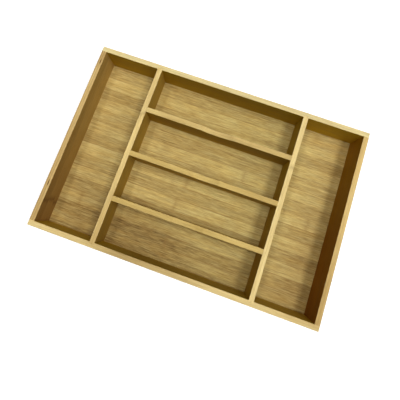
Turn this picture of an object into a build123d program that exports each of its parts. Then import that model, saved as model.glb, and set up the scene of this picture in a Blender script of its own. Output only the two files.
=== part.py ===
from build123d import *
import os

# Cutlery tray of bamboo boards. A frame of four rails holds a thin base panel in its grooves. Two
# long dividers are let into the front and rear rails, and the short cross dividers between them
# are let into their inner faces. Steel brads close the butted corners and the dividers' ends.
#
# Millimetres. X runs along the tray, Y from the front to the rear, Z up. The origin is the middle
# of the underside, on the surface that the tray stands on.

# The tray over its outer faces
tray_length = 445.0
tray_depth = 300.0
tray_height = 60.0

# Boards and compartments
rail_thickness = 8.0
divider_thickness = 8.0
side_compartment_width = 88.5
cross_divider_count = 3
edge_ease = 0.6

# Base panel and the grooves that hold it
panel_thickness = 3.0
panel_recess = 2.5
groove_depth = 3.0
panel_edge_gap = 0.3

# Housings: slots in which a divider's end sits
rail_housing_depth = 2.5
divider_housing_depth = 2.5
divider_housing_stop = 8.0
housing_end_gap = 0.1

# Finger scoop in the top edge of a cross divider
scoop_width = 52.0
scoop_depth = 5.5
scoop_lip_radius = 6.0

# Brads, driven in along Y from the outer faces of the front and rear rails
brad_diameter = 1.4
brad_length = 25.0
brad_head_diameter = 2.4
brad_head_thickness = 0.8
brad_edge_distance = 14.0
brad_point = 0.4
brad_clearance = 0.05

# How far a cutting shape runs past the face that it cuts
overrun = 1.0

# Places worked out from the sizes above
inner_length = tray_length - 2 * rail_thickness
inner_depth = tray_depth - 2 * rail_thickness
centre_width = inner_length - 2 * (side_compartment_width + divider_thickness)
floor_height = panel_recess + panel_thickness
divider_height = tray_height - floor_height
divider_x = (centre_width + divider_thickness) / 2
side_rail_x = (inner_length + rail_thickness) / 2
tongue_top = tray_height - divider_housing_stop
brad_heights = (brad_edge_distance, tray_height - brad_edge_distance)

cross_pitch = (inner_depth + divider_thickness) / (cross_divider_count + 1)
cross_divider_places = [
    (number - (cross_divider_count - 1) / 2) * cross_pitch for number in range(cross_divider_count)
]


def easing_waste(section, edge, inwards):
    """What easing takes off a square top edge, drawn across the board on its section plane.

    edge is the edge's place across the board, and inwards (1 or -1) points from it into the wood.
    """
    outer = Align.MAX if inwards > 0 else Align.MIN
    with BuildSketch(section) as waste:
        with Locations((edge + inwards * edge_ease, tray_height - edge_ease)):
            Rectangle(edge_ease + overrun, edge_ease + overrun, align=(outer, Align.MIN))
            Circle(edge_ease, mode=Mode.SUBTRACT)
    return waste.sketch


def brad_marks(side, rows, diameter):
    """Circles on the outer face of the front (-1) or rear (1) rail, two above each other in each row."""
    with BuildSketch(Plane.XZ.offset(-side * tray_depth / 2)) as marks:
        with Locations(*[(x, z) for x in rows for z in brad_heights]):
            Circle(diameter / 2)
    return marks.sketch


def make_long_rail(side):
    """Front (-1) or rear (1) rail: full length, grooved, with a housing for each long divider."""
    rows = (-side_rail_x, -divider_x, divider_x, side_rail_x)
    with BuildPart() as rail:
        with BuildSketch():
            with Locations((0, side * (inner_depth + rail_thickness) / 2)):
                Rectangle(tray_length, rail_thickness)
        extrude(amount=tray_height)

        # The outer face and both ends are eased all round; the inner edge only between the side rails
        outer_face = rail.faces().filter_by(Axis.Y).sort_by(Axis.Y)[0 if side < 0 else -1]
        fillet(outer_face.edges() + rail.edges().filter_by(Axis.Y), edge_ease)
        section = Plane.YZ.offset(-inner_length / 2)
        waste = easing_waste(section, side * inner_depth / 2, side)
        extrude(waste, amount=inner_length, mode=Mode.SUBTRACT)

        # Groove for the base panel, stopped short of the rail's ends
        with BuildSketch(Plane.XZ.offset(-side * inner_depth / 2)):
            with Locations((0, panel_recess + panel_thickness / 2)):
                Rectangle(inner_length + 2 * groove_depth, panel_thickness)
        extrude(amount=-side * groove_depth, mode=Mode.SUBTRACT)

        # Housings for the long dividers, open at the top
        with BuildSketch(Plane.XZ.offset(-side * inner_depth / 2)):
            with Locations((-divider_x, floor_height), (divider_x, floor_height)):
                Rectangle(divider_thickness, divider_height + overrun, align=(Align.CENTER, Align.MIN))
        extrude(amount=-side * rail_housing_depth, mode=Mode.SUBTRACT)

        # Holes for the brads' shanks and heads
        shank_holes = brad_marks(side, rows, brad_diameter + 2 * brad_clearance)
        extrude(shank_holes, amount=side * rail_thickness, mode=Mode.SUBTRACT)
        head_holes = brad_marks(side, rows, brad_head_diameter + 2 * brad_clearance)
        extrude(head_holes, amount=side * brad_head_thickness, mode=Mode.SUBTRACT)
    return rail


def make_side_rail(side):
    """Left (-1) or right (1) rail, butted between the long rails."""
    with BuildPart() as rail:
        with BuildSketch():
            with Locations((side * side_rail_x, 0)):
                Rectangle(rail_thickness, inner_depth)
        extrude(amount=tray_height)

        long_edges = rail.edges().filter_by(Axis.Y)
        top_edges = long_edges.group_by(Axis.Z)[-1]
        outer_foot = long_edges.group_by(Axis.Z)[0].sort_by(Axis.X)[0 if side < 0 else -1]
        fillet(top_edges + [outer_foot], edge_ease)

        # Groove for the base panel, right through, because the long rails cover its ends
        with BuildSketch(Plane.YZ.offset(side * inner_length / 2)):
            with Locations((0, panel_recess + panel_thickness / 2)):
                Rectangle(inner_depth, panel_thickness)
        extrude(amount=side * groove_depth, mode=Mode.SUBTRACT)

        for end in (-1, 1):
            holes = brad_marks(end, (side * side_rail_x,), brad_diameter + 2 * brad_clearance)
            extrude(holes, amount=end * (brad_length + brad_clearance), mode=Mode.SUBTRACT)
    return rail


def make_long_divider(side):
    """Left (-1) or right (1) long divider, with a stopped housing for each cross divider."""
    with BuildPart() as divider:
        with BuildSketch(Plane.XY.offset(floor_height)):
            with Locations((side * divider_x, 0)):
                Rectangle(divider_thickness, inner_depth + 2 * (rail_housing_depth - housing_end_gap))
        extrude(amount=divider_height)

        # Top edges eased between the rails, and left square inside the rails' housings
        section = Plane.XZ.offset(-inner_depth / 2)
        for edge in (-1, 1):
            edge_x = side * divider_x + edge * divider_thickness / 2
            extrude(easing_waste(section, edge_x, -edge), amount=inner_depth, mode=Mode.SUBTRACT)

        # Housings for the cross dividers' tongues, which stop below the top edge and don't show
        with BuildSketch(Plane.YZ.offset(side * centre_width / 2)):
            with Locations(*[(y, floor_height) for y in cross_divider_places]):
                Rectangle(divider_thickness, tongue_top - floor_height, align=(Align.CENTER, Align.MIN))
        extrude(amount=side * divider_housing_depth, mode=Mode.SUBTRACT)

        for end in (-1, 1):
            holes = brad_marks(end, (side * divider_x,), brad_diameter + 2 * brad_clearance)
            extrude(holes, amount=end * (brad_length + brad_clearance), mode=Mode.SUBTRACT)
    return divider


def make_cross_divider(y):
    """Cross divider at depth y: a scooped board with a tongue at each end, below its top edge."""
    tongue_end = centre_width / 2 + divider_housing_depth - housing_end_gap
    with BuildPart() as divider:
        with BuildSketch(Plane.XZ.offset(-y)) as elevation:
            with BuildLine():
                Polyline(
                    (-scoop_width / 2, tray_height),
                    (-centre_width / 2, tray_height),
                    (-centre_width / 2, tongue_top),
                    (-tongue_end, tongue_top),
                    (-tongue_end, floor_height),
                    (tongue_end, floor_height),
                    (tongue_end, tongue_top),
                    (centre_width / 2, tongue_top),
                    (centre_width / 2, tray_height),
                    (scoop_width / 2, tray_height),
                )
                ThreePointArc(
                    (scoop_width / 2, tray_height),
                    (0, tray_height - scoop_depth),
                    (-scoop_width / 2, tray_height),
                )
            make_face()
            lips = elevation.vertices().filter_by_position(Axis.X, -scoop_width / 2, scoop_width / 2)
            fillet(lips, scoop_lip_radius)
        extrude(amount=divider_thickness / 2, both=True)

        # Both rims of the top edge, down through the scoop
        rims = (
            divider.faces().filter_by(Axis.Y).edges()
            .filter_by(Axis.Z, reverse=True)
            .filter_by_position(Axis.Z, floor_height, tray_height, inclusive=(False, True))
            .filter_by_position(Axis.X, -centre_width / 2, centre_width / 2)
        )
        fillet(rims, edge_ease)
    return divider


def make_base_panel():
    """The thin panel that floors all compartments, held on all sides in the rails' grooves."""
    held = 2 * (groove_depth - panel_edge_gap)
    with BuildPart() as panel:
        with BuildSketch(Plane.XY.offset(panel_recess)):
            Rectangle(inner_length + held, inner_depth + held)
        extrude(amount=panel_thickness)
    return panel


def make_brads(rows):
    """Brads in the given rows, two in each row at the front and two at the rear, heads flush."""
    point_y = tray_depth / 2 - brad_length
    with BuildPart() as brads:
        for side in (-1, 1):
            extrude(brad_marks(side, rows, brad_diameter), amount=side * brad_length)
            extrude(brad_marks(side, rows, brad_head_diameter), amount=side * brad_head_thickness)
        circles = brads.edges().filter_by(GeomType.CIRCLE)
        chamfer(circles.filter_by_position(Axis.Y, -point_y, point_y), brad_point)
    return brads


pieces = {
    "front_rail": make_long_rail(-1),
    "rear_rail": make_long_rail(1),
    "left_rail": make_side_rail(-1),
    "right_rail": make_side_rail(1),
    "left_divider": make_long_divider(-1),
    "right_divider": make_long_divider(1),
    "base_panel": make_base_panel(),
    "corner_brads": make_brads((-side_rail_x, side_rail_x)),
    "divider_brads": make_brads((-divider_x, divider_x)),
}

# Cross dividers, numbered from the front
for number, place in enumerate(cross_divider_places, start=1):
    pieces[f"cross_divider_{number}"] = make_cross_divider(place)

os.makedirs("parts", exist_ok=True)
for name, piece in pieces.items():
    piece.part.label = name
    export_step(piece.part, f"parts/{name}.step")
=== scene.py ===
"""Studio scene of a bamboo cutlery tray: nine boards, a base panel and steel brads."""

import logging
import math
from dataclasses import dataclass
from enum import Enum, IntEnum
from functools import cached_property, reduce
from typing import Sequence

import bpy
import numpy as np
from mathutils import Euler, Matrix, Vector


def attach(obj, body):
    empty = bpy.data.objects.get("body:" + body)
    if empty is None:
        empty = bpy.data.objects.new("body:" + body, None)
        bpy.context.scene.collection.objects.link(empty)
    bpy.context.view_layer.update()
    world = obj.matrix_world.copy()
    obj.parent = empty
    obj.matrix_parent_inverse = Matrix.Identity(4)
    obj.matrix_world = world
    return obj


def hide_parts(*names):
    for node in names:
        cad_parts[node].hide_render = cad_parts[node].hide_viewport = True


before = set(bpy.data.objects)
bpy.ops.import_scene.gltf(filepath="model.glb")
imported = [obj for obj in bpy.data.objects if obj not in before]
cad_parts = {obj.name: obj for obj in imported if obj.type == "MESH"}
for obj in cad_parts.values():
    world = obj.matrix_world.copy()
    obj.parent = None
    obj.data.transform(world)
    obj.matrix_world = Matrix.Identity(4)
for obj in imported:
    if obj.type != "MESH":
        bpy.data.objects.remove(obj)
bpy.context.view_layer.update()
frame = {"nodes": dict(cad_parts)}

log = logging.getLogger("tray")

Grid = np.ndarray
Grids = dict[str, np.ndarray]
Places = tuple[float, ...]
Colour = tuple[float, float, float]
Piece = bpy.types.Object
Socket = bpy.types.NodeSocket
Sockets = bpy.types.bpy_prop_collection

MM = 0.001


# Sizes that the boards share


@dataclass(frozen=True)
class TrayPlan:
    """Sizes and places that the boards share, in metres. They are those of the CAD model."""

    length: float = 445 * MM
    depth: float = 300 * MM
    height: float = 60 * MM
    board: float = 8 * MM
    side_bay: float = 88.5 * MM
    cross_dividers: int = 3
    ease: float = 0.6 * MM
    panel_thickness: float = 3 * MM
    panel_recess: float = 2.5 * MM
    groove: float = 3 * MM
    panel_gap: float = 0.3 * MM
    housing: float = 2.5 * MM
    housing_stop: float = 8 * MM
    housing_gap: float = 0.1 * MM
    scoop_width: float = 52 * MM
    scoop_depth: float = 5.5 * MM
    scoop_lip: float = 6 * MM
    brad_inset: float = 14 * MM

    @property
    def inner_length(self) -> float:
        """Length between the side rails."""
        return self.length - 2 * self.board

    @property
    def inner_depth(self) -> float:
        """Depth between the long rails."""
        return self.depth - 2 * self.board

    @property
    def centre_width(self) -> float:
        """Length of the short compartments."""
        return self.inner_length - 2 * (self.side_bay + self.board)

    @property
    def floor(self) -> float:
        """Height of the compartments' floor."""
        return self.panel_recess + self.panel_thickness

    @property
    def divider_x(self) -> float:
        """Middle of a long divider, from the tray's middle."""
        return (self.centre_width + self.board) / 2

    @property
    def side_rail_x(self) -> float:
        """Middle of a side rail, from the tray's middle."""
        return (self.inner_length + self.board) / 2

    @property
    def long_rail_y(self) -> float:
        """Middle of a long rail, from the tray's middle."""
        return (self.inner_depth + self.board) / 2

    @property
    def tongue_top(self) -> float:
        """Height at which the cross dividers' tongues stop."""
        return self.height - self.housing_stop

    @property
    def cross_places(self) -> Grid:
        """Middles of the cross dividers, from front to rear."""
        pitch = (self.inner_depth + self.board) / (self.cross_dividers + 1)
        return (np.arange(self.cross_dividers) - (self.cross_dividers - 1) / 2) * pitch


PLAN = TrayPlan()

# Where a joint lies that a strip doesn't have, and where a groove ends that runs right through
FAR_AWAY = 9.0

# Half the width of the narrow quads that make a step in a surface
STEP = 0.01 * MM

# Angles at the points of a rounded corner, from one face to the next
QUARTER = np.linspace(0.0, math.pi / 2, 5)

# Points across the top edge and the foot, as shares of the width. The middle pair is a glue seam.
TOP_SHARES = (0.0, 0.25, 0.43, 0.4999, 0.5001, 0.57, 0.75, 1.0)
FOOT_SHARES = (0.0, 0.4999, 0.5001, 1.0)

# Slow waves on a hand-eased edge: the length of each and its turn beside the others, how much one
# adds to the radius, and how far a finish's seed turns them
EASE_WAVES = ((83 * MM, 1.0), (37 * MM, 2.3), (151 * MM, 0.6))
WAVE_SHARE = 0.07
SEED_TURN = 40


class Side(Enum):
    """Which of a pair of mirrored boards a board is."""

    NEGATIVE = -1
    POSITIVE = 1


class Run(Enum):
    """The tray's axis along which a board and its fibres run."""

    ALONG_X = 0
    ALONG_Y = 1


class Region(IntEnum):
    """Part of a board's section ring."""

    INNER = 0
    TOP = 1
    OUTER = 2
    FOOT = 3


class Tone(Enum):
    """How pale or dark bamboo is, beside its neighbours or at one place along it; some lists use tones for
    painted light and shade.
    """

    DEEPEST = -1.5
    DEEP = -1.0
    DARK = -0.6
    DUSKY = -0.3
    PLAIN = 0.0
    LIGHT = 0.3
    PALE = 0.6
    BLOND = 1.0
    PALEST = 1.5


Tones = tuple[Tone, ...]
DEEPEST, DEEP, DARK, DUSKY, PLAIN, LIGHT, PALE, BLOND, PALEST = Tone


class Mark(Enum):
    """How strongly a cane's joints show."""

    PLAIN = 1.0
    STRONG = 1.8
    KNOTTY = 4.5


@dataclass(frozen=True)
class Cane:
    """One strip or ply of a board: its tone, where its cane's joints lie and how they show.

    The joints are in millimetres. The drift changes a strip of the panel from end to end.
    """

    tone: Tone = PLAIN
    joints: Places = ()
    drift: Tones = (PLAIN,)
    mark: Mark = Mark.PLAIN


Canes = tuple[Cane, ...]


def strong(tone: Tone, *joints: float) -> Cane:
    """A cane whose joints show well."""
    return Cane(tone, joints, mark=Mark.STRONG)


def evenly(start: float, end: float, pitch: float) -> Grid:
    """Places from start to end, about a pitch apart, both ends included."""
    return np.linspace(start, end, max(2, round(abs(end - start) / pitch) + 1))


def around(places: Places, reach: float, pitch: float = 0.3 * MM) -> Places:
    """Close places round each of some places."""
    return tuple(np.add.outer(places, evenly(-reach, reach, pitch)).ravel())


def nearest(place: Grid, marks: Sequence[float]) -> Grid:
    """How far each place lies from the nearest mark."""
    return np.min(np.abs(place[..., None] - np.asarray(marks)), axis=-1)


def smooth(share: Grid) -> Grid:
    """S-shaped curve through the shares from 0 to 1, level at both ends: s squared times 3 - 2 s."""
    share = np.clip(share, 0.0, 1.0)
    return share * share * (3 - 2 * share)


def quad_means(grid: Grid) -> Grid:
    """Mean of each four neighbours of a grid whose rows are closed rings, as one row."""
    after = np.roll(grid, -1, axis=1)
    return ((grid[:-1] + grid[1:] + after[:-1] + after[1:]) / 4).reshape(-1)


def stand(name: str, data: bpy.types.ID) -> Piece:
    """Puts a new object into the scene.

    Args:
        name: its name.
        data: its mesh, light or camera.

    Returns:
        The object.
    """
    thing = bpy.data.objects.new(name, data)
    bpy.context.scene.collection.objects.link(thing)
    return thing


# Shader nodes


def rgba(colour: Colour) -> tuple[float, float, float, float]:
    """A colour with full alpha."""
    return (*colour, 1.0)


class Graph:
    """Lays shader nodes in one node tree and links them."""

    def __init__(self, tree: bpy.types.NodeTree) -> None:
        """Takes over a tree and empties it."""
        self.tree = tree
        tree.nodes.clear()

    def put(self, socket: Socket, value: object) -> None:
        """Gives an input socket a value, or a link where the value is a socket.

        Args:
            socket: the input.
            value: a number, a tuple or an output socket.
        """
        if isinstance(value, Socket):
            self.tree.links.new(value, socket)
        else:
            socket.default_value = value

    def add(self, kind: str, inputs: dict | None = None, **settings: object) -> bpy.types.Node:
        """Adds a node.

        Args:
            kind: the node's type.
            inputs: values or sockets by input name or index.
            settings: properties of the node.

        Returns:
            The node.
        """
        node = self.tree.nodes.new(kind)
        for name, value in settings.items():
            setattr(node, name, value)
        for key, value in (inputs or {}).items():
            self.put(node.inputs[key], value)
        return node

    def group(self, tree: bpy.types.NodeTree, **inputs: object) -> Sockets:
        """A node group's outputs, given its inputs by name."""
        return self.add("ShaderNodeGroup", inputs, node_tree=tree).outputs

    def maths(self, operation: str, *values: object, clamp: bool = False) -> Socket:
        """Result of a Math node on the values, kept between 0 and 1 if clamp says so."""
        inputs = dict(enumerate(values))
        return self.add("ShaderNodeMath", inputs, operation=operation, use_clamp=clamp).outputs[0]

    def plus(self, *values: object) -> Socket:
        """Sum of the values."""
        return reduce(lambda total, value: self.maths("ADD", total, value), values)

    def times(self, *values: object) -> Socket:
        """Product of the values."""
        return reduce(lambda total, value: self.maths("MULTIPLY", total, value), values)

    def minus(self, first: object, second: object) -> Socket:
        """Difference of two values."""
        return self.maths("SUBTRACT", first, second)

    def vectors(self, operation: str, first: object, second: object) -> Socket:
        """Result of a Vector Math node on two vectors."""
        return self.add("ShaderNodeVectorMath", {0: first, 1: second}, operation=operation).outputs[0]

    def ramp(self, value: object, low: float, high: float, to: Places = (0.0, 1.0)) -> Socket:
        """A value moved smoothly from one range, low to high, to another."""
        inputs = {"Value": value, "From Min": low, "From Max": high, "To Min": to[0], "To Max": to[1]}
        return self.add("ShaderNodeMapRange", inputs, interpolation_type="SMOOTHSTEP").outputs["Result"]

    def blend(self, factor: object, first: object, second: object, mode: str = "MIX") -> Socket:
        """Two colours mixed. The factor says how much of the second."""
        inputs = {0: factor, 6: first, 7: second}
        return self.add("ShaderNodeMix", inputs, data_type="RGBA", blend_type=mode).outputs[2]

    def noise(self, vector: Socket, size: Places, detail: float = 2.0, roughness: float = 0.5) -> Socket:
        """Noise whose grains have the given lengths, with values round 0.5.

        Args:
            vector: places in metres.
            size: the grains' length along each axis in millimetres, the last one also for the rest.
            detail: finer layers in the noise.
            roughness: weight of the finer layers.

        Returns:
            The value's socket.
        """
        scale = tuple(1 / (length * MM) for length in (*size, size[-1])[:3])
        scaled = self.vectors("MULTIPLY", vector, scale)
        inputs = {"Vector": scaled, "Scale": 1.0, "Detail": detail, "Roughness": roughness}
        return self.add("ShaderNodeTexNoise", inputs).outputs[0]

    def bump(self, height: Socket, strength: float, depth: float) -> Socket:
        """Normal of a surface with fine relief, its depth in millimetres."""
        inputs = {"Strength": strength, "Distance": depth * MM, "Height": height}
        return self.add("ShaderNodeBump", inputs).outputs[0]


def new_material(
    name: str, shader: str, inputs: dict | None = None
) -> tuple[bpy.types.Material, Graph, bpy.types.Node]:
    """Starts a material.

    Args:
        name: its name.
        shader: type of the shader that makes its surface.
        inputs: the shader's inputs.

    Returns:
        The material, its graph and the shader's node.
    """
    material = bpy.data.materials.new(name)
    material.use_nodes = True
    graph = Graph(material.node_tree)
    node = graph.add(shader, inputs)
    graph.add("ShaderNodeOutputMaterial", {"Surface": node.outputs[0]})
    return material, graph, node


def new_group(name: str, inputs: Sequence[str], outputs: Sequence[str]) -> tuple[Graph, Sockets, Sockets]:
    """Starts a shader node group with named sockets.

    Args:
        name: the group's name.
        inputs: names of its numbers, which come after its vector.
        outputs: names of the numbers that it gives.

    Returns:
        The group's graph, what it is given, and the sockets that take its results.
    """
    tree = bpy.data.node_groups.new(name, "ShaderNodeTree")
    tree.interface.new_socket("Vector", in_out="INPUT", socket_type="NodeSocketVector")
    for labels, way in ((inputs, "INPUT"), (outputs, "OUTPUT")):
        for label in labels:
            tree.interface.new_socket(label, in_out=way, socket_type="NodeSocketFloat")
    graph = Graph(tree)
    return graph, graph.add("NodeGroupInput").outputs, graph.add("NodeGroupOutput").inputs


@dataclass
class BambooGroups:
    """Node groups for the effects that all bamboo pieces share, each built on its first use.

    Wander and bend are the full swings of the fibres and of a joint's line. The rib and the band
    round it fade out between two distances from that line.
    """

    wander: float = 1.6 * MM
    bend: float = 7 * MM
    rib: Places = (0.6 * MM, 2.4 * MM)
    band: Places = (1.5 * MM, 7 * MM)

    @cached_property
    def fibres(self) -> bpy.types.NodeTree:
        """Streaks, ripples, fibres, bundles, blotches and warm patches of cut bamboo.

        The vector has the fibres along its first axis. Shift moves the pattern along and across
        them, so that each strip has its own.

        Returns:
            The group, with values from 0 to 1.
        """
        names = ("Streaks", "Ripple", "Fibres", "Bundles", "Blotches", "Warmth")
        graph, given, made = new_group("bamboo_fibres", ("Shift",), names)
        shift = graph.add("ShaderNodeCombineXYZ", dict.fromkeys("XY", given["Shift"])).outputs[0]
        here = graph.vectors("ADD", given["Vector"], shift)
        wander = graph.times(graph.minus(graph.noise(here, (90, 12)), 0.5), self.wander)
        sideways = graph.add("ShaderNodeCombineXYZ", dict.fromkeys("YZ", wander)).outputs[0]
        bent = graph.vectors("ADD", here, sideways)
        elsewhere = graph.vectors("ADD", here, (0.7, 0.3, 0.5))
        graph.put(made["Streaks"], graph.noise(bent, (80, 2.2), roughness=0.62))
        graph.put(made["Ripple"], graph.noise(bent, (14, 1.3), roughness=0.6))
        graph.put(made["Fibres"], graph.noise(bent, (24, 0.8), roughness=0.6))
        graph.put(made["Bundles"], graph.ramp(graph.noise(bent, (9, 0.38), 1.0), 0.6, 0.72))
        graph.put(made["Blotches"], graph.noise(here, (42, 13), 3.0, 0.55))
        graph.put(made["Warmth"], graph.noise(elsewhere, (38, 9), 3.0, 0.6))
        return graph.tree

    @cached_property
    def joints(self) -> bpy.types.NodeTree:
        """The cane's joints: a thin dark rib across a strip, in a wider mottled band.

        Place is where along the fibres the strip's joint lies.

        Returns:
            The group, with masks from 0 to 1.
        """
        graph, given, made = new_group("cane_joints", ("Place",), ("Rib", "Band"))
        vector = given["Vector"]
        along = graph.add("ShaderNodeSeparateXYZ", {0: vector}).outputs["X"]
        bend = graph.times(graph.minus(graph.noise(vector, (25, 5)), 0.5), self.bend)
        away = graph.maths("ABSOLUTE", graph.minus(graph.plus(along, bend), given["Place"]))
        mottle = graph.ramp(graph.noise(vector, (4, 0.9)), 0.4, 0.6, (0.35, 1.0))
        graph.put(made["Rib"], graph.ramp(away, *self.rib, (1.0, 0.0)))
        graph.put(made["Band"], graph.times(graph.ramp(away, *self.band, (1.0, 0.0)), mottle))
        return graph.tree

    @cached_property
    def edges(self) -> bpy.types.NodeTree:
        """Worn edges and glue seams, both broken up along the fibres.

        Ease is 1 on a rounded edge, and Seam is 1 where two strips are glued.

        Returns:
            The group, with masks from 0 to 1.
        """
        graph, given, made = new_group("edges_and_seams", ("Ease", "Seam"), ("Wear", "Glue"))
        rubbed = graph.ramp(graph.noise(given["Vector"], (14, 3), 3.0), 0.42, 0.62)
        broken = graph.ramp(graph.noise(given["Vector"], (45, 60)), 0.38, 0.6)
        graph.put(made["Wear"], graph.times(given["Ease"], rubbed))
        graph.put(made["Glue"], graph.times(given["Seam"], broken))
        return graph.tree


GROUPS = BambooGroups()


# Finishes


class Shade(Enum):
    """Colour of a board's sawn edge, after the cane that it was cut from."""

    WHEAT = (0.75, 0.61, 0.285)
    STRAW = (0.757, 0.575, 0.242)
    CORN = (0.7, 0.512, 0.2)
    HONEY = (0.625, 0.46, 0.187)
    AMBER = (0.62, 0.43, 0.155)
    SAND = (0.6, 0.43, 0.155)
    RUSSET = (0.57, 0.385, 0.145)
    TAWNY = (0.56, 0.39, 0.12)


@dataclass(frozen=True)
class Bamboo:
    """Finish of one bamboo board.

    Its faces have the wide colour and its sawn edges the shade. On the rails and dividers the wide
    colour is darker and nearer to free of blue than the cane: in part painted shade of the
    compartments. Fibre bundles, joints and glue are dark, and rubbed edges worn. Streaks to fibres say
    how far each figure swings the tone, and the seed gives the board a figure of its own. A tone of 1
    is tone_step paler, amber of 1 takes amber_step off green and blue, and the shares say how much of
    each mark shows.
    """

    # Face colour: on the rails and dividers it is in part painted shade of the compartments
    wide: Colour
    shade: Shade = Shade.HONEY
    dark: Colour = (0.24, 0.125, 0.03)
    worn: Colour = (0.82, 0.66, 0.34)
    streaks: float = 0.34
    ripple: float = 0.26
    blotches: float = 0.3
    warmth: float = 0.12
    fibres: float = 0.24
    seed: float = 0.0
    tone_step: float = 0.2
    amber_step: float = 0.1
    green_power: float = 1.2
    blue_power: float = 1.45
    cool_power: float = 3.0
    bundle_share: float = 0.3
    band_share: float = 0.26
    rib_share: float = 0.16
    glue_share: float = 0.8
    wear_share: float = 0.22

    def build(self, name: str, run: Run) -> bpy.types.Material:
        """Builds the material.

        The figures add up to a factor round one, which multiplies the board's colour. Green and
        blue take higher powers of it, because darker bamboo is browner too, and warm patches and
        amber take some more off them.

        Args:
            name: the material's name.
            run: the axis along which the fibres run.

        Returns:
            The material.
        """
        gloss = {"IOR": 1.45, "Specular IOR Level": 0.12}
        material, graph, shader = new_material(name, "ShaderNodeBsdfPrincipled", gloss)
        where = graph.add("ShaderNodeTexCoord").outputs["Object"]
        turn = (0.0, 0.0, 0.0 if run is Run.ALONG_X else -math.pi / 2)
        vector = graph.add("ShaderNodeMapping", {"Vector": where, "Rotation": turn}).outputs[0]

        def read(attribute: str) -> Socket:
            """One of the mesh's own values."""
            return graph.add("ShaderNodeAttribute", attribute_name=attribute).outputs["Fac"]

        fibres = graph.group(GROUPS.fibres, Vector=vector, Shift=graph.plus(read("shift"), self.seed))
        joints = graph.group(GROUPS.joints, Vector=vector, Place=read("joint"))
        edges = graph.group(GROUPS.edges, Vector=vector, Ease=read("ease"), Seam=read("seam"))

        def swing(figure: str, amount: float) -> Socket:
            """One of the figures, to both sides of zero."""
            return graph.times(graph.minus(fibres[figure], 0.5), amount)

        tone = graph.times(graph.plus(read("tone"), read("drift")), self.tone_step)
        long_figure = graph.plus(swing("Streaks", self.streaks), swing("Blotches", self.blotches))
        short_figure = graph.plus(swing("Ripple", self.ripple), swing("Fibres", self.fibres))
        factor = graph.plus(tone, 1.0, graph.plus(long_figure, short_figure))
        cool = graph.minus(1.0, swing("Warmth", self.warmth))
        fresh = graph.minus(1.0, graph.times(read("amber"), self.amber_step))
        green = graph.times(graph.maths("POWER", factor, self.green_power), cool, fresh)
        cooler = graph.maths("POWER", cool, self.cool_power)
        blue = graph.times(graph.maths("POWER", factor, self.blue_power), cooler, fresh)
        stain = graph.add("ShaderNodeCombineColor", {"Red": factor, "Green": green, "Blue": blue})
        # Faces take the wide colour, in part painted shade, and sawn edges the shade's colour
        ground = graph.blend(read("rim"), rgba(self.wide), rgba(self.shade.value))
        colour = graph.blend(1.0, ground, stain.outputs[0], "MULTIPLY")

        dark, mark = rgba(self.dark), read("mark")
        colour = graph.blend(graph.times(fibres["Bundles"], self.bundle_share), colour, dark)
        for mask, amount in (("Band", self.band_share), ("Rib", self.rib_share)):
            share = graph.maths("MULTIPLY", graph.times(joints[mask], amount), mark, clamp=True)
            colour = graph.blend(share, colour, dark)
        colour = graph.blend(graph.times(edges["Glue"], self.glue_share), colour, dark)
        colour = graph.blend(graph.times(edges["Wear"], self.wear_share), colour, rgba(self.worn))
        graph.put(shader.inputs["Base Color"], colour)
        graph.put(shader.inputs["Roughness"], graph.ramp(fibres["Streaks"], 0.2, 0.8, (0.5, 0.66)))
        height = graph.minus(graph.times(fibres["Fibres"], 0.6), graph.times(joints["Rib"], 0.8))
        graph.put(shader.inputs["Normal"], graph.bump(height, strength=0.5, depth=0.05))
        return material


@dataclass(frozen=True)
class BradSteel:
    """Finish of the brads: drawn steel wire, dull and a little scratched."""

    name: str = "brad_steel_wire"
    bright: Colour = (0.58, 0.57, 0.55)
    dull: Colour = (0.30, 0.28, 0.25)

    def build(self) -> bpy.types.Material:
        """Builds the material, with scratches round the wire and small dull stains.

        Returns:
            The material.
        """
        material, graph, shader = new_material(self.name, "ShaderNodeBsdfPrincipled", {"Metallic": 1.0})
        where = graph.add("ShaderNodeTexCoord").outputs["Object"]
        scratches = graph.noise(where, (0.5, 3, 0.08), 3.0, 0.6)
        stains = graph.ramp(graph.noise(where, (0.7, 0.7)), 0.35, 0.65)
        graph.put(shader.inputs["Base Color"], graph.blend(stains, rgba(self.bright), rgba(self.dull)))
        graph.put(shader.inputs["Roughness"], graph.ramp(scratches, 0.3, 0.7, (0.32, 0.55)))
        graph.put(shader.inputs["Normal"], graph.bump(scratches, strength=0.4, depth=0.02))
        return material


# Board surfaces


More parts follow.
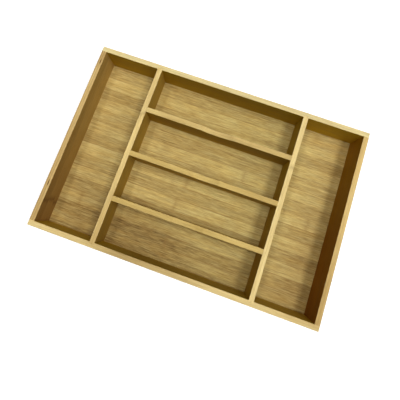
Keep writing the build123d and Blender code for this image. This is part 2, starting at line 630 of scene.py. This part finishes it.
@dataclass
class Board:
    """A bamboo board: a section ring carried along the board and closed at both ends.

    In the board's own terms a point has a place along it, a place across it (from minus to plus
    half its thickness, plus being its inner face) and a height. Its ends lie at its reach, and its
    middle lies at its line from the tray's middle. Steps and close places go by the place along
    it, and count for both of its halves. The rims say how much of the sawn edge's colour a face
    has, and the shifts move the figure from strip to strip and from face to face.
    """

    node: str
    finish: Bamboo
    side: Side = Side.NEGATIVE
    slot: str = "rail_bamboo"
    run: Run = Run.ALONG_X
    reach: float = 0.0
    line: float = 0.0
    bottom: float = 0.0
    inner_canes: Canes = (Cane(),) * 3
    outer_canes: Canes = (Cane(),) * 3
    top_canes: Canes = (Cane(),) * 2
    strip_edges: Places = (20 * MM, 40 * MM)
    # Lengthwise tones: the cane's own changes, and in some boards' lists painted shade and light
    drift: Tones = (PLAIN,)
    inner_drift: Tones = ()
    inner_amber: Tones = (PLAIN,)
    pitch: float = 4 * MM
    steps: Places = ()
    close_places: Places = ()
    inner_steps: Places = ()
    outer_rows: Places = ()
    end_margin: float = 0.0
    tip_radius: float = 0.0
    foot_ease: float = 0.05 * MM
    flat_margin: float = 0.35 * MM
    outer_rim: float = 0.0
    foot_rim: float = 0.6
    ply_seam: float = 0.35
    lane_shift: float = 0.37
    region_shifts: Places = (0.0, 1.13, 2.26, 3.39)
    crease: float = 32.0

    def top(self, along: Grid) -> Grid:
        """Height of the board's top edge."""
        return np.full_like(along, PLAN.height)

    def inner_cut(self, along: Grid, height: Grid) -> Grid:
        """How deep the inner face is cut by grooves and housings."""
        return np.zeros(np.broadcast(along, height).shape)

    def outer_dent(self, along: Grid, height: Grid) -> Grid:
        """How deep the outer face is dented."""
        return np.zeros(np.broadcast(along, height).shape)

    def top_eases(self, along: Grid) -> tuple[Grid, Grid]:
        """Radii of the inner and the outer top edge."""
        return (self.wandering_ease(along),) * 2

    def foot_eases(self, along: Grid) -> tuple[Grid, Grid]:
        """Radii of the inner and the outer foot edge."""
        return (np.full_like(along, self.foot_ease),) * 2

    def wandering_ease(self, along: Grid) -> Grid:
        """Radius of a hand-eased edge: the plan's radius with three slow sine waves on it.

        Args:
            along: places along the board.

        Returns:
            Radii.
        """
        turn = self.finish.seed * SEED_TURN
        waves = sum(np.sin(along * 2 * math.pi / length + turn * way) for length, way in EASE_WAVES)
        return PLAN.ease * (1 + WAVE_SHARE * waves)

    def tips(self, along: Grid) -> Grid:
        """How far a quarter circle at each end draws the section in."""
        inside = np.clip(self.tip_radius - (self.reach - np.abs(along)), 0.0, self.tip_radius)
        return self.tip_radius - np.sqrt(np.maximum(self.tip_radius**2 - inside**2, 0.0))

    def lengthwise(self, tones: Tones, along: Grid) -> Grid:
        """Tone at each place along the board.

        The tones lie at equal distances from end to end, with half a cosine wave between
        neighbours.

        Args:
            tones: the tones, from the board's negative end.
            along: places along the board.

        Returns:
            Tone values.
        """
        step = np.clip((along + self.reach) / (2 * self.reach), 0.0, 1.0) * (len(tones) - 1)
        soft = np.floor(step) + (1 - np.cos(math.pi * (step % 1))) / 2
        return np.interp(soft, np.arange(len(tones)), [tone.value for tone in tones])

    def stations(self) -> Grid:
        """Rings a pitch apart, closer at rounded tips and close places, and in pairs at steps.

        Returns:
            Places along the board.
        """
        end, steps = self.reach, np.array(self.steps)
        tips = end - self.tip_radius * (1 - np.cos(QUARTER))
        extra = np.concatenate([steps - STEP, steps + STEP, tips, self.close_places])
        level = evenly(-end + self.end_margin, end - self.end_margin, self.pitch)
        return np.unique(np.round(np.concatenate([level, extra, -extra]), 7))

    def rings(self) -> Grids:
        """The section ring at every station.

        Each ring goes up the inner face, over the top, down the outer face and back along the
        foot. A corner is a quarter circle round a centre that lies its radius inside both faces.
        The points of a face lie at fixed heights, drawn in between the corners where they have to.

        Returns:
            Grids of stations by ring points: places along, across and up, the region, the share of
            the sawn edge's colour (rim), and whether a point lies on an eased edge (ease) or on a
            glue seam (seam).
        """
        along, half = self.stations()[:, None], PLAN.board / 2
        foot, top = self.bottom + self.tips(along), self.top(along) - self.tips(along)
        top_in, top_out = self.top_eases(along)
        foot_in, foot_out = self.foot_eases(along)
        lip, outer = half - self.inner_cut(along, top), -half + self.tips(along)
        start, end, fade = 1 - np.sin(QUARTER), 1 - np.cos(QUARTER), np.cos(QUARTER) ** 2

        def rows(more: Sequence[float], low_ease: Grid, high_ease: Grid) -> Grid:
            """Heights of a face's points, from just over its foot edge to just under its top edge."""
            low, high = foot + low_ease + self.flat_margin, top - high_ease - self.flat_margin
            return np.concatenate([low, np.clip(sorted([*more, *self.strip_edges]), low, high), high], 1)

        def flat(first: Grid, last: Grid, shares: Places) -> Grid:
            """Places across the board at shares of the way from one edge's ease to the other's."""
            margin = np.sign(last - first) * self.flat_margin
            return first + margin + (last - first - 2 * margin) * np.array(shares)

        inner_rows = rows([step + way for step in self.inner_steps for way in (-STEP, STEP)], foot_in, top_in)
        outer_rows = rows(self.outer_rows, foot_out, top_out)[:, ::-1]
        top_flat = flat(lip - top_in, outer + top_out, TOP_SHARES)
        foot_flat = flat(outer + foot_out, half - foot_in, FOOT_SHARES)
        glue = (np.abs(np.array(TOP_SHARES) - 0.5) < 0.001) * self.ply_seam
        bare, rim = self.outer_rim, self.foot_rim
        names = ("across", "height", "region", "rim", "ease", "seam")
        parts = (
            (half - self.inner_cut(along, inner_rows), inner_rows, Region.INNER, 0.0, 0.0, 0.0),
            (lip - top_in * end, top - top_in * start, Region.TOP, 1 - fade, 1.0, 0.0),
            (top_flat, top, Region.TOP, 1.0, 0.0, glue),
            (outer + top_out * start, top - top_out * end, Region.TOP, bare + (1 - bare) * fade, 1.0, 0.0),
            (outer + self.outer_dent(along, outer_rows), outer_rows, Region.OUTER, bare, 0.0, 0.0),
            (outer + foot_out * end, foot + foot_out * start, Region.FOOT, rim, 1.0, 0.0),
            (foot_flat, foot, Region.FOOT, rim, 0.0, 0.0),
            (half - foot_in * start, foot + foot_in * end, Region.FOOT, rim * fade, 1.0, 0.0),
        )
        spread = [[np.broadcast_to(data, part[0].shape) for data in part] for part in parts]
        grids = {name: np.concatenate(data, axis=1) for name, data in zip(names, zip(*spread))}
        return {"along": np.broadcast_to(along, grids["across"].shape), **grids}

    def lanes(self, faces: Grids) -> tuple[tuple[Canes, Region, Grid], ...]:
        """Which cane each face lies in.

        Args:
            faces: the faces' middles.

        Returns:
            For each region its canes, and each face's number among them.
        """
        count = len(self.top_canes)
        plies = np.digitize(-faces["across"], PLAN.board / 2 * (2 * np.arange(1, count) / count - 1))
        strips = np.digitize(faces["height"], self.strip_edges)
        sides = ((self.inner_canes, Region.INNER, strips), (self.outer_canes, Region.OUTER, strips))
        return (*sides, (self.top_canes, Region.TOP, plies), (self.top_canes, Region.FOOT, plies))

    def cane_values(self, faces: Grids) -> Grids:
        """Tone, nearest joint, figure's shift and mark of each face, from the cane that it lies in.

        Args:
            faces: the faces' middles and regions.

        Returns:
            Values by attribute name.
        """
        along = faces["along"]
        tone, shift, mark = np.zeros_like(along), np.zeros_like(along), np.ones_like(along)
        joint = np.full_like(along, FAR_AWAY)
        for canes, region, lane in self.lanes(faces):
            for number, cane in enumerate(canes):
                chosen = (faces["region"] == region) & (lane == number)
                tone[chosen] = cane.tone.value
                shift[chosen] = self.lane_shift * number + self.region_shifts[region]
                mark[chosen] = cane.mark.value
                if cane.joints and region is not Region.FOOT:
                    places = np.array(cane.joints) * MM
                    joint[chosen] = places[np.abs(along[chosen][:, None] - places).argmin(axis=1)]
        return {"tone": tone, "joint": joint, "shift": shift, "mark": mark}

    def point_values(self, rings: Grids) -> Grids:
        """Tone and redness that change smoothly along the board, the inner face having its own.

        Args:
            rings: the grids of the section rings.

        Returns:
            Values by attribute name.
        """
        along, inside = rings["along"], rings["region"] == Region.INNER
        inner = self.lengthwise(self.inner_drift or self.drift, along)
        drift = np.where(inside, inner, self.lengthwise(self.drift, along))
        return {"drift": drift, "amber": np.where(inside, self.lengthwise(self.inner_amber, along), 0.0)}

    def place(self, along: Grid, across: Grid, height: Grid) -> Grid:
        """Points of the tray's frame for points in the board's own terms."""
        level = (along, self.side.value * (self.line - across))
        return np.stack([level[self.run.value], level[1 - self.run.value], height], axis=-1)

    def build(self) -> None:
        """Builds the board, dresses it and lets it stand for its CAD node.

        Quads join each ring to the next, and one face closes each end. The signed volume, a sum of
        triple products over the faces, tells whether they point outwards, and they are turned if
        it is negative.
        """
        rings = self.rings()
        count, size = rings["along"].shape
        points = self.place(rings["along"], rings["across"], rings["height"]).reshape(-1, 3)
        index = np.arange(count * size).reshape(count, size)
        after = np.roll(index, -1, axis=1)
        quads = np.stack([index[:-1], after[:-1], after[1:], index[1:]], axis=-1).reshape(-1, 4)
        a, b, c, d = (points[quads[:, corner]] for corner in range(4))
        volume = np.einsum("ij,ij->", a, np.cross(b, c)) + np.einsum("ij,ij->", a, np.cross(c, d))
        way = 1 if volume > 0 else -1
        faces = quads[:, ::way].tolist() + [index[0][::-way].tolist(), index[-1][::way].tolist()]
        mesh = bpy.data.meshes.new(self.node + "_board")
        mesh.from_pydata(points.tolist(), [], faces)

        def note(name: str, domain: str, data: Grid) -> None:
            """Gives the mesh a value at each face or point."""
            layer = mesh.attributes.new(name, "FLOAT", domain).data
            layer.foreach_set("value", data.reshape(-1).astype(np.float32))

        middles = {name: quad_means(rings[name]) for name in ("along", "across", "height")}
        on_faces = self.cane_values({**middles, "region": rings["region"][:-1].reshape(-1)})
        on_ends = {"tone": DEEP.value, "joint": FAR_AWAY, "shift": 0.5, "mark": Mark.PLAIN.value}
        for name, data in on_faces.items():
            note(name, "FACE", np.append(data, [on_ends[name]] * 2))
        marks = {name: rings[name] for name in ("rim", "ease", "seam")}
        for name, data in {**marks, **self.point_values(rings)}.items():
            note(name, "POINT", data)
        mesh.shade_smooth()
        mesh.set_sharp_from_angle(angle=math.radians(self.crease))
        mesh.materials.append(self.finish.build(self.node + "_bamboo", self.run))
        piece = stand(self.node + "_bamboo", mesh)
        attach(piece, "root")
        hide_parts(self.node)
        log.info("%s: %d faces", piece.name, len(faces))


@dataclass
class Rail(Board):
    """A rail of the frame, grooved for the panel."""

    inner_steps: Places = (PLAN.panel_recess, PLAN.floor)
    # Outer faces take half the sawn edge's colour, so they are paler than the inner faces, whose wide colour
    # is in part painted shade
    outer_rim: float = 0.5
    groove_end: float = FAR_AWAY

    def inner_cut(self, along: Grid, height: Grid) -> Grid:
        """The groove for the panel."""
        grooved = (height > PLAN.panel_recess) & (height < PLAN.floor) & (np.abs(along) < self.groove_end)
        return np.where(grooved, PLAN.groove, 0.0)

    def foot_eases(self, along: Grid) -> tuple[Grid, Grid]:
        """The outer foot edge is eased."""
        return np.full_like(along, self.foot_ease), self.wandering_ease(along)


@dataclass
class LongRail(Rail):
    """Front or rear rail: full length, housed for the long dividers, dented at the brads' heads."""

    reach: float = PLAN.length / 2
    line: float = PLAN.long_rail_y
    end_margin: float = 1 * MM
    tip_radius: float = PLAN.ease
    groove_end: float = PLAN.inner_length / 2 + PLAN.groove
    steps: Places = (
        PLAN.inner_length / 2,
        PLAN.inner_length / 2 + PLAN.groove,
        PLAN.divider_x - PLAN.board / 2,
        PLAN.divider_x + PLAN.board / 2,
    )
    joint_ease: float = 0.12 * MM
    brad_columns: Places = (PLAN.divider_x, PLAN.side_rail_x)
    brad_rows: Places = (PLAN.brad_inset, PLAN.height - PLAN.brad_inset)
    close_places: Places = around(brad_columns, 2.2 * MM)
    outer_rows: Places = around(brad_rows, 2.1 * MM)
    brad_head: float = 1.2 * MM
    dent_depth: float = 0.15 * MM
    dent_fade: float = 0.8 * MM

    def in_housing(self, along: Grid) -> Grid:
        """Whether a place lies in one of the long dividers' housings."""
        return np.abs(np.abs(along) - PLAN.divider_x) < PLAN.board / 2

    def inner_cut(self, along: Grid, height: Grid) -> Grid:
        """The groove, and the housings above it."""
        housed = (height > PLAN.floor) & self.in_housing(along)
        return np.where(housed, PLAN.housing, super().inner_cut(along, height))

    def outer_dent(self, along: Grid, height: Grid) -> Grid:
        """Dents at the brads' heads: full depth under a head, fading smoothly beside it."""
        away = np.hypot(nearest(np.abs(along), self.brad_columns), nearest(height, self.brad_rows))
        return self.dent_depth * (1 - smooth((away - self.brad_head) / self.dent_fade))

    def top_eases(self, along: Grid) -> tuple[Grid, Grid]:
        """The inner edge is eased between the side rails, and nearly square at joints."""
        full, joined = self.wandering_ease(along), np.abs(along) > PLAN.inner_length / 2
        return np.where(joined | self.in_housing(along), self.joint_ease, full), full


@dataclass
class SideRail(Rail):
    """Left or right rail, butted between the long rails and grooved right through."""

    run: Run = Run.ALONG_Y
    reach: float = PLAN.inner_depth / 2
    line: float = PLAN.side_rail_x
    end_margin: float = 0.5 * MM
    tip_radius: float = 0.12 * MM


@dataclass
class LongDivider(Board):
    """Left or right long divider, let into the long rails, with a housing for each cross divider."""

    slot: str = "divider_bamboo"
    run: Run = Run.ALONG_Y
    reach: float = PLAN.inner_depth / 2 + PLAN.housing - PLAN.housing_gap
    line: float = PLAN.divider_x
    bottom: float = PLAN.floor
    steps: Places = (*(PLAN.cross_places + PLAN.board / 2), PLAN.inner_depth / 2)
    inner_steps: Places = (PLAN.tongue_top,)
    housed_ease: float = 0.03 * MM

    def inner_cut(self, along: Grid, height: Grid) -> Grid:
        """Housings for the cross dividers' tongues."""
        housed = (nearest(along, PLAN.cross_places) < PLAN.board / 2) & (height < PLAN.tongue_top)
        return np.where(housed, PLAN.housing, 0.0)

    def top_eases(self, along: Grid) -> tuple[Grid, Grid]:
        """Both edges are eased between the rails, and square inside the rails' housings."""
        housed = np.abs(along) > PLAN.inner_depth / 2
        return (np.where(housed, self.housed_ease, self.wandering_ease(along)),) * 2


@dataclass
class CrossDivider(Board):
    """Short divider with a finger scoop in its top edge and a tongue at each end."""

    slot: str = "divider_bamboo"
    reach: float = PLAN.centre_width / 2 + PLAN.housing - PLAN.housing_gap
    bottom: float = PLAN.floor
    steps: Places = (PLAN.centre_width / 2,)
    close_reach: float = 0.6 * PLAN.scoop_width
    close_places: Places = around((0.0,), close_reach, 0.8 * MM)

    def top(self, along: Grid) -> Grid:
        """Top edge: a circle's arc for the scoop, rounded into the level edge, and lower tongues.

        The arc's radius follows from its chord and depth. The lip's circle lies in the wood and
        touches both the level edge and the arc, so its middle is the sum of both radii away from
        the arc's middle.

        Args:
            along: places along the divider.

        Returns:
            Heights.
        """
        depth, lip = PLAN.scoop_depth, PLAN.scoop_lip
        radius = ((PLAN.scoop_width / 2) ** 2 + depth**2) / (2 * depth)
        centre, lip_height = PLAN.height - depth + radius, PLAN.height - lip
        lip_place = math.sqrt((radius + lip) ** 2 - (centre - lip_height) ** 2)
        touch = lip_place * radius / (radius + lip)
        away = np.abs(along)
        arc = centre - np.sqrt(np.maximum(radius**2 - away**2, 0.0))
        rounding = lip_height + np.sqrt(np.maximum(lip**2 - (lip_place - away) ** 2, 0.0))
        level = np.where(away > PLAN.centre_width / 2, PLAN.tongue_top, PLAN.height)
        return np.where(away < touch, arc, np.where(away < lip_place, rounding, level))


@dataclass
class BasePanel(Board):
    """The thin panel of bamboo strips that floors all compartments, held in the rails' grooves.

    Its strips are counted from the front, and amber says how much redder it is from end to end.
    Close to each seam its surface has more points, so that the dark line stays narrow.
    """

    slot: str = "panel_bamboo"
    reach: float = PLAN.inner_length / 2 + PLAN.groove - PLAN.panel_gap
    half_depth: float = PLAN.inner_depth / 2 + PLAN.groove - PLAN.panel_gap
    strips: Canes = ()
    strip: float = 20 * MM
    first_edge: float = 1 * MM
    amber: Tones = (LIGHT, PLAIN, DUSKY, LIGHT)
    soft_seam: float = 2.2 * MM
    beside_seam: Places = (0.9 * MM, 1.5 * MM, 2.4 * MM)
    seam_dip: float = 0.04 * MM
    bevel: float = 0.15 * MM
    clear_edge: float = 0.4 * MM
    under_share: float = 0.4
    lane_shift: float = 0.61
    region_shifts: Places = (0.0, 0.0, 0.0, 0.29)

    def seams(self) -> Grid:
        """Places across the panel of the joints between its strips."""
        first = -PLAN.inner_depth / 2 + self.first_edge
        return first + self.strip * np.arange(len(self.strips) - 1)

    def rings(self) -> Grids:
        """The panel's section: its top from rear to front and its underside back.

        The points of both faces lie at the seams and between them, each seam dips by a hair, and
        the long edges are bevelled.

        Returns:
            Grids as for any board.
        """
        seams, edge, bevel = self.seams(), self.half_depth, self.bevel
        beside = [seams + side * step for side in (-1, 1) for step in self.beside_seam]
        places = np.concatenate([*beside, seams, seams + self.strip / 2])
        inner = np.sort(places[np.abs(places) < edge - self.clear_edge])
        on_seam = np.where(nearest(inner, seams) < STEP, 1.0, 0.0)
        line = np.array([-edge, -edge + bevel, *inner, edge - bevel, edge])
        down = np.array([bevel, 0.0, *(self.seam_dip * on_seam), 0.0, bevel])
        glued = np.array([0.0, 0.0, *on_seam, 0.0, 0.0])
        along = self.stations()[:, None]
        section = {
            "along": along,
            "across": np.append(line[::-1], line),
            "height": np.append(PLAN.floor - down[::-1], PLAN.panel_recess + down),
            "region": np.repeat([Region.TOP, Region.FOOT], len(line)),
            "rim": 0.0,
            "ease": 0.0,
            "seam": np.append(glued[::-1], glued),
        }
        return {name: np.broadcast_to(data, (len(along), 2 * len(line))) for name, data in section.items()}

    def lanes(self, faces: Grids) -> tuple[tuple[Canes, Region, Grid], ...]:
        """Which strip each face lies in."""
        lane = np.digitize(faces["across"], self.seams())
        return (self.strips, Region.TOP, lane), (self.strips, Region.FOOT, lane)

    def cane_values(self, faces: Grids) -> Grids:
        """As for any board, but the tones lie on the points, where they can change softly."""
        return {**super().cane_values(faces), "tone": np.zeros_like(faces["along"])}

    def point_values(self, rings: Grids) -> Grids:
        """Tone of the strip under each point, with a soft change over the seams, and redness.

        Each strip's share falls from one to nothing over a few millimetres round its edges, along a
        smooth S-shaped curve, and the shares of neighbours add up to one.

        Args:
            rings: the grids of the section rings.

        Returns:
            Values by attribute name.
        """
        along = rings["along"]
        edges = np.array([-1.0, *self.seams(), 1.0])
        total = self.lengthwise(self.drift, along)
        for number, strip in enumerate(self.strips):
            rise, fall = (
                smooth((rings["across"] - edges[number + end]) / self.soft_seam + 0.5) for end in (0, 1)
            )
            total += (rise - fall) * (strip.tone.value + self.lengthwise(strip.drift, along))
        drift = np.where(rings["region"] == Region.FOOT, self.under_share * total, total)
        return {"drift": drift, "amber": self.lengthwise(self.amber, along)}


# Sub-assemblies


class SubAssembly:
    """Boards that belong together."""

    def boards(self) -> list[Board]:
        """The boards with their finishes."""
        raise NotImplementedError

    def build(self) -> None:
        """Builds the boards."""
        for board in self.boards():
            board.build()


@dataclass
class RailFrame(SubAssembly):
    """The four rails that make the tray's frame."""

    # Left rail's inner strips, bottom to top; the top one is the darkest: painted shade under the rim
    left_strips: Canes = (strong(PLAIN, -112), strong(LIGHT, -106), strong(DUSKY, -109))
    left_plies: Canes = (Cane(LIGHT), Cane(DUSKY, (-83, 125), mark=Mark.KNOTTY), Cane(LIGHT), Cane(DARK))
    long_outside: Canes = (strong(DUSKY, -131, 88), strong(LIGHT, -12, 190), strong(DARK, -178, 61))
    short_outside: Canes = (strong(LIGHT, 72), strong(DUSKY, -96, 118), strong(PLAIN, -18))

    def boards(self) -> list[Board]:
        """The rails with their finishes.

        Returns:
            Front, rear, left and right rail.
        """
        # Front rail: wide colour in part painted shade; the dark place in its top and inner face, left of the
        # middle, is painted shadow
        front = LongRail(
            "front_rail",
            Bamboo((0.41, 0.25, 0.016), Shade.HONEY, seed=0.11),
            drift=(BLOND, LIGHT, DEEPEST, DARK, PALE, LIGHT, PLAIN),
            inner_drift=(PALEST, PALEST, DARK, PLAIN, LIGHT, LIGHT),
            outer_canes=self.long_outside,
        )
        # Rear rail: wide colour in part painted shade; its inner face's pale right end, over the right
        # compartment, is painted light
        rear = LongRail(
            "rear_rail",
            Bamboo((0.465, 0.29, 0.014), Shade.WHEAT, seed=0.23),
            Side.POSITIVE,
            drift=(PLAIN, PLAIN, PLAIN, DUSKY, DUSKY, PLAIN),
            inner_drift=(PLAIN, LIGHT, PLAIN, DARK, DARK, PALEST, PALE),
            outer_canes=self.long_outside[::-1],
        )
        # Left rail: wide colour in part painted shade; top and inner face darker at the front and paler to
        # the rear: painted shade and light
        left = SideRail(
            "left_rail",
            Bamboo((0.4, 0.245, 0.058), Shade.RUSSET, dark=(0.12, 0.05, 0.01), seed=0.37),
            drift=(DARK, DUSKY, PLAIN, PLAIN, LIGHT, PALE, DARK),
            inner_drift=(DEEPEST, DEEP, DARK, PLAIN, LIGHT, PALE),
            inner_amber=(BLOND, PALE, LIGHT, PLAIN, PLAIN, PLAIN),
            inner_canes=self.left_strips,
            top_canes=self.left_plies,
            outer_canes=self.short_outside,
        )
        # Right rail: its darkest wide colour paints the shade of an inner face turned from the key lamp; top
        # and inner face darker at the front: painted shade
        right = SideRail(
            "right_rail",
            Bamboo((0.305, 0.134, 0.002), Shade.AMBER, seed=0.53),
            Side.POSITIVE,
            drift=(DEEP, DEEP, DUSKY, LIGHT, PALE, LIGHT),
            inner_drift=(DEEPEST, DEEP, DEEP, DARK, DUSKY, LIGHT),
            inner_amber=(PALEST, BLOND, PALE, DARK, DEEP, DARK),
            outer_canes=self.short_outside[::-1],
        )
        return [front, rear, left, right]


@dataclass
class DividerGrid(SubAssembly):
    """The two long dividers and the cross dividers between them."""

    left_plies: Canes = (Cane(joints=(65,)), Cane(joints=(63,)))
    right_plies: Canes = (Cane(joints=(58,)), Cane(joints=(59,)))
    # Cross dividers' front faces, bottom to top: darker towards the top, painted shade under the rim
    cross_front: Canes = (Cane(PALE), Cane(PLAIN), Cane(DUSKY))
    cross_looks: tuple[tuple[Shade, Tones], ...] = (
        (Shade.TAWNY, (PLAIN, PLAIN, PLAIN, DUSKY, PALE, PLAIN)),
        (Shade.TAWNY, (LIGHT, PLAIN, LIGHT, LIGHT, DUSKY, PLAIN)),
        (Shade.SAND, (BLOND, PLAIN, LIGHT, DUSKY, DUSKY, DUSKY)),
    )

    def boards(self) -> list[Board]:
        """The dividers with their finishes.

        Returns:
            Left and right divider, then the cross dividers from the front.
        """
        # Left divider: wide colour in part painted shade; top and inner face darker at the front: painted
        # shade
        left = LongDivider(
            "left_divider",
            Bamboo((0.36, 0.215, 0.028), Shade.CORN, seed=0.67),
            drift=(DEEP, DARK, LIGHT, PALE, PLAIN, LIGHT),
            inner_drift=(DEEP, DARK, PLAIN, LIGHT, LIGHT, LIGHT),
            top_canes=self.left_plies,
        )
        # Right divider: its dark wide colour paints the shade of an inner face turned from the key lamp; the
        # inner face paler towards the rear is painted light
        right = LongDivider(
            "right_divider",
            Bamboo((0.31, 0.168, 0.005), Shade.STRAW, seed=0.79),
            Side.POSITIVE,
            inner_drift=(PLAIN, PLAIN, PLAIN, LIGHT, BLOND, PALE),
            inner_amber=(PLAIN, PALE, PLAIN, DUSKY, DARK, DARK),
            top_canes=self.right_plies,
        )
        # Cross dividers: wide colour in part painted shade of the compartments
        crosses = [
            CrossDivider(
                f"cross_divider_{number}",
                Bamboo((0.36, 0.207, 0.01), shade, seed=0.83 + 0.17 * number),
                line=-place,
                drift=drift,
                outer_canes=self.cross_front,
            )
            for number, (place, (shade, drift)) in enumerate(zip(PLAN.cross_places, self.cross_looks), 1)
        ]
        return [left, right, *crosses]


@dataclass
class Floor(SubAssembly):
    """The strip-laid base panel.

    Three things change its tone from end to end: painted shadow in the front strips, a duller middle
    in the rear ones, and over the right compartment painted light that ends in painted shade by the
    right rail.
    """

    # Painted shadow over the front strips, deepest left of the middle
    painted_shadow_front: Tones = (DUSKY, DEEPEST, DUSKY, PLAIN)
    dull_middle: Tones = (PALE, DUSKY, DUSKY, PALE)
    # Painted light over the right compartment's floor, and painted shade by the right rail
    painted_light_and_shade_right: Tones = (PLAIN, PLAIN, PLAIN, PLAIN, PLAIN, LIGHT, DUSKY)
    finish: Bamboo = Bamboo(
        (0.437, 0.31, 0.099), streaks=0.82, ripple=0.97, blotches=0.4, warmth=0.24, fibres=0.5, seed=1.9
    )

    def boards(self) -> list[Board]:
        """The panel with its strips and finish.

        Returns:
            The panel.
        """
        dim, dull = self.painted_shadow_front, self.dull_middle
        # The front strips' dark tones are in part painted shade of a darker front, with the painted shadow on
        # them
        front = (Cane(DEEP), Cane(DARK, (), dim), Cane(DEEP, (-24,), dim), Cane(LIGHT, (-180,), dim))
        middle = (Cane(DEEP), Cane(LIGHT, (-30,)), Cane(DARK), Cane(PALE, (-24, 182)), Cane(DUSKY))
        behind = (Cane(PALE, (62,)), Cane(DUSKY, (), dull), Cane(PALE, (), dull), Cane(DUSKY))
        rear = (Cane(PALE, (), dull), Cane(PLAIN, (), dull), Cane(PLAIN))
        strips = (*front, *middle, *behind, *rear)
        return [BasePanel("base_panel", self.finish, strips=strips, drift=self.painted_light_and_shade_right)]


@dataclass
class Brads:
    """The steel brads, which keep their CAD shapes."""

    nodes: tuple[str, ...] = ("corner_brads", "divider_brads")
    finish: BradSteel = BradSteel()

    def build(self, nodes: dict[str, Piece]) -> None:
        """Dresses the brads.

        Args:
            nodes: the CAD nodes by name.
        """
        material = self.finish.build()
        for name in self.nodes:
            nodes[name].data.materials.clear()
            nodes[name].data.materials.append(material)
            log.info("%s: dressed in %s", name, material.name)


# Studio


@dataclass(frozen=True)
class Lamp:
    """A softbox that faces the tray's middle, its length along the tray's depth."""

    name: str
    place: tuple[float, float, float]
    width: float
    length: float
    power: float

    def build(self) -> None:
        """Hangs the lamp."""
        data = bpy.data.lights.new(self.name, "AREA")
        data.shape = "RECTANGLE"
        data.size = self.width
        data.size_y = self.length
        data.energy = self.power
        lamp = stand(self.name, data)
        lamp.location = self.place
        back = Vector(self.place).normalized()
        across = Vector((0.0, 1.0, 0.0)).cross(back).normalized()
        lamp.rotation_euler = Matrix((across, back.cross(across), back)).transposed().to_euler()
        log.info("%s: %.1f W", self.name, self.power)


@dataclass
class Studio:
    """Floor, world, lamps and camera. Angles are in degrees and the lens in millimetres."""

    ambient: float = 0.02
    floor_size: float = 6.0
    floor_paint: Colour = (0.8, 0.8, 0.8)
    floor_lift: float = 0.42
    white: Colour = (1.0, 1.0, 1.0)
    camera_place: tuple[float, float, float] = (0.01717, -0.05537, 0.61879)
    camera_turn: tuple[float, float, float] = (11.882, 0.202, 19.187)
    lens: float = 33.268
    shift: float = -0.152
    near: float = 0.01
    lamps: tuple[Lamp, ...] = (
        Lamp("key_lamp", (1.355, 0.03, 3.42), 0.36, 1.8, 37.7),
        Lamp("far_key_lamp", (1.64, 0.03, 6.0), 0.5, 3.0, 81.0),
        Lamp("top_lamp", (0.1, 0.05, 3.0), 0.6, 0.6, 17.5),
        Lamp("fill_lamp", (1.9, 0.1, 1.9), 1.3, 1.2, 13.0),
        Lamp("left_lamp", (-0.72, 0.03, 2.5), 0.3, 1.5, 18.3),
    )

    def build_floor(self) -> None:
        """Lays the floor, which takes the tray's shadow and is lifted to white for the camera."""
        half = self.floor_size / 2
        mesh = bpy.data.meshes.new("studio_floor")
        corners = [(-half, -half, 0.0), (half, -half, 0.0), (half, half, 0.0), (-half, half, 0.0)]
        mesh.from_pydata(corners, [], [(0, 1, 2, 3)])
        material, graph, both = new_material("studio_floor_paint", "ShaderNodeAddShader")
        paint = graph.add("ShaderNodeBsdfDiffuse", {"Color": rgba(self.floor_paint)})
        seen = graph.add("ShaderNodeLightPath").outputs["Is Camera Ray"]
        glow = {"Color": rgba(self.white), "Strength": graph.times(seen, self.floor_lift)}
        graph.put(both.inputs[0], paint.outputs[0])
        graph.put(both.inputs[1], graph.add("ShaderNodeEmission", glow).outputs[0])
        mesh.materials.append(material)
        floor = stand("studio_floor", mesh)

    def build_world(self) -> None:
        """Lights the room faintly, and shows it white to the camera and in reflections."""
        world = bpy.data.worlds.new("studio_world")
        bpy.context.scene.world = world
        world.use_nodes = True
        graph = Graph(world.node_tree)
        path = graph.add("ShaderNodeLightPath").outputs
        seen = graph.plus(path["Is Camera Ray"], path["Is Glossy Ray"])
        seen = graph.maths("ADD", seen, path["Is Transmission Ray"], clamp=True)
        strength = graph.plus(self.ambient, graph.times(seen, 1.0 - self.ambient))
        sky = graph.add("ShaderNodeBackground", {"Color": rgba(self.white), "Strength": strength})
        graph.add("ShaderNodeOutputWorld", {"Surface": sky.outputs[0]})

    def build_camera(self) -> None:
        """Sets up the camera at the photograph's viewing angle."""
        data = bpy.data.cameras.new("studio_camera")
        data.lens = self.lens
        data.shift_y = self.shift
        data.clip_start = self.near
        camera = stand("studio_camera", data)
        camera.location = self.camera_place
        camera.rotation_euler = Euler([math.radians(angle) for angle in self.camera_turn], "XYZ")
        bpy.context.scene.camera = camera

    def build(self) -> None:
        """Builds the whole studio."""
        self.build_floor()
        self.build_world()
        self.build_camera()
        for lamp in self.lamps:
            lamp.build()
        bpy.context.scene.view_settings.view_transform = "Standard"


def main() -> None:
    """Builds the tray and its studio."""
    logging.basicConfig(level=logging.INFO, format="%(name)s: %(message)s")
    RailFrame().build()
    DividerGrid().build()
    Floor().build()
    Brads().build(frame["nodes"])
    Studio().build()


if __name__ == "__main__":
    main()
